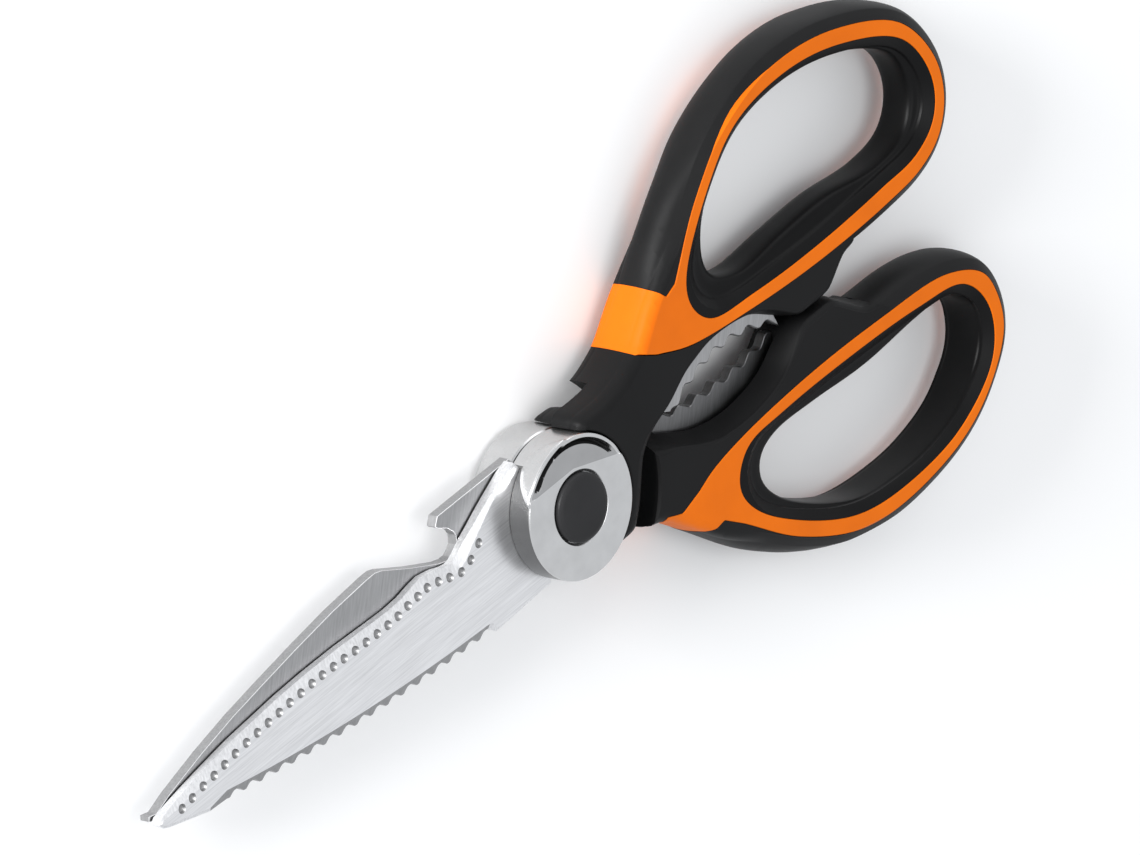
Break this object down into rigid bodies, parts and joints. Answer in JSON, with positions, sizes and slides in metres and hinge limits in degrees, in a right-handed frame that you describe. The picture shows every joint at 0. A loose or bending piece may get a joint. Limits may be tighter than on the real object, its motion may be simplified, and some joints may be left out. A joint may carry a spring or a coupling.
{
  "type": "poultry shears",
  "caption": "Heavy kitchen shears with ring handles, round pivot bosses, a scaler edge, a nutcracker gap and a bottle-opener notch.",
  "frame": {"origin": "on the pivot axis, at the outer face of the back cap, which rests on the table", "axes": "+X from the pivot to the handles along the closed shears, +Y towards the larger ring, +Z out of the front face"},
  "size_m": [0.2341, 0.0993, 0.017],
  "materials": {
    "brushed_blade": "brushed along the blade, bright ground bevel",
    "satin_boss": "fine satin, polished edges",
    "pivot_steel": "plain turned",
    "black_cap": "fine texture",
    "black_shell": "satin moulded",
    "soft_black_grip": "soft satin",
    "soft_black_liner": "soft satin",
    "orange_trim": "soft, fine grain"
  },
  "bodies": {
    "back_half": {"back_blade": "brushed_blade", "back_boss": "satin_boss", "back_cap": "black_cap", "back_handle_core": "black_shell", "back_orange_trim": "orange_trim", "back_outer_grip": "soft_black_grip", "back_ring_liner": "soft_black_liner", "pivot_screw": "pivot_steel", "pivot_nut": "pivot_steel", "blade_washer": "pivot_steel", "spring_washer": "pivot_steel"},
    "front_half": {"front_blade": "brushed_blade", "front_boss": "satin_boss", "front_cap": "black_cap", "front_handle_core": "black_shell", "front_orange_trim": "orange_trim", "front_outer_grip": "soft_black_grip", "front_ring_liner": "soft_black_liner"}
  },
  "joints": [
    {"name": "blade_pivot", "type": "hinge", "parent": "back_half", "child": "front_half", "pos_m": [0, 0, 0.0085], "axis": [0, 0, 1], "range_deg": [0, 70]}
  ]
}
